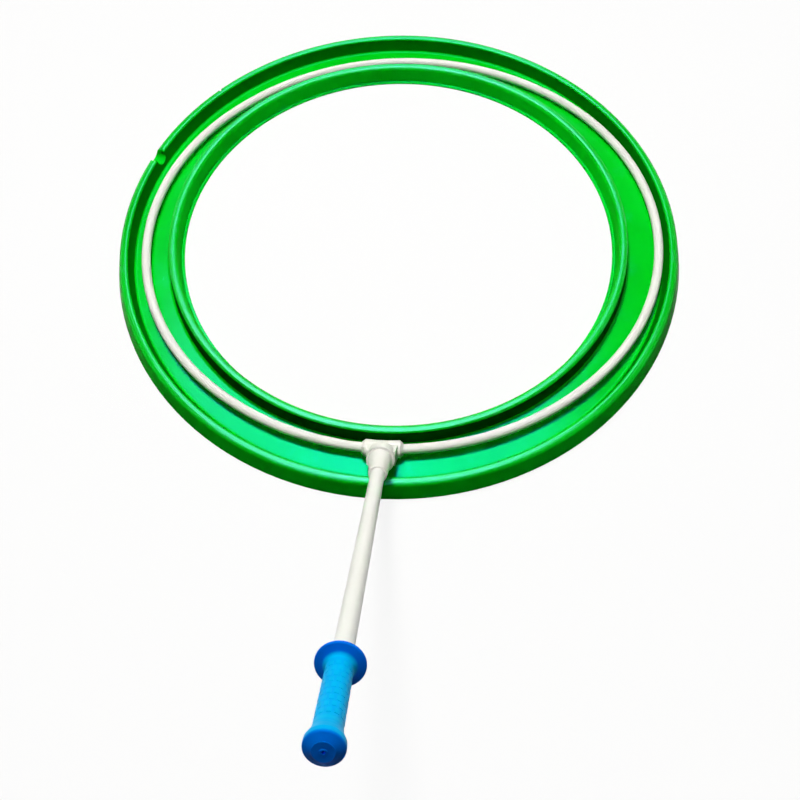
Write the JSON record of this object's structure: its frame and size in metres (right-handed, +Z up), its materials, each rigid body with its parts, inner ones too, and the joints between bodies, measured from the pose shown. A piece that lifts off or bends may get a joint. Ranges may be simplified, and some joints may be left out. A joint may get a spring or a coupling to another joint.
{
  "type": "giant bubble wand",
  "caption": "Large bubble hoop on a raised handle with a rubber grip, lying in a ring-shaped dipping tray that is open in the middle so someone can stand inside it.",
  "frame": {"origin": "middle of the whole part's footprint, on the ground that the tray stands on", "axes": "+Z up, -Y along the handle away from the tray, +X to the right when the handle points at the viewer"},
  "size_m": [1.0229, 1.42, 0.4998],
  "materials": {
    "tray_plastic": "glossy moulded plastic in saturated green",
    "hoop_plastic": "satin extruded white plastic tube",
    "fitting_plastic": "semi-gloss moulded off-white plastic",
    "pipe_plastic": "semi-gloss extruded white plastic pipe",
    "grip_rubber": "soft satin blue rubber"
  },
  "bodies": {
    "tray": {"tray": "tray_plastic"},
    "wand": {"hoop": "hoop_plastic", "tee_fitting": "fitting_plastic", "hoop_sleeve_left": "fitting_plastic", "hoop_sleeve_right": "fitting_plastic", "handle_bush": "fitting_plastic", "handle_pipe": "pipe_plastic", "grip": "grip_rubber"}
  },
  "joints": [
    {"name": "wand_lift", "type": "slide", "parent": "tray", "child": "wand", "axis": [0, 0, 1], "range_m": [0, 0.6]}
  ]
}
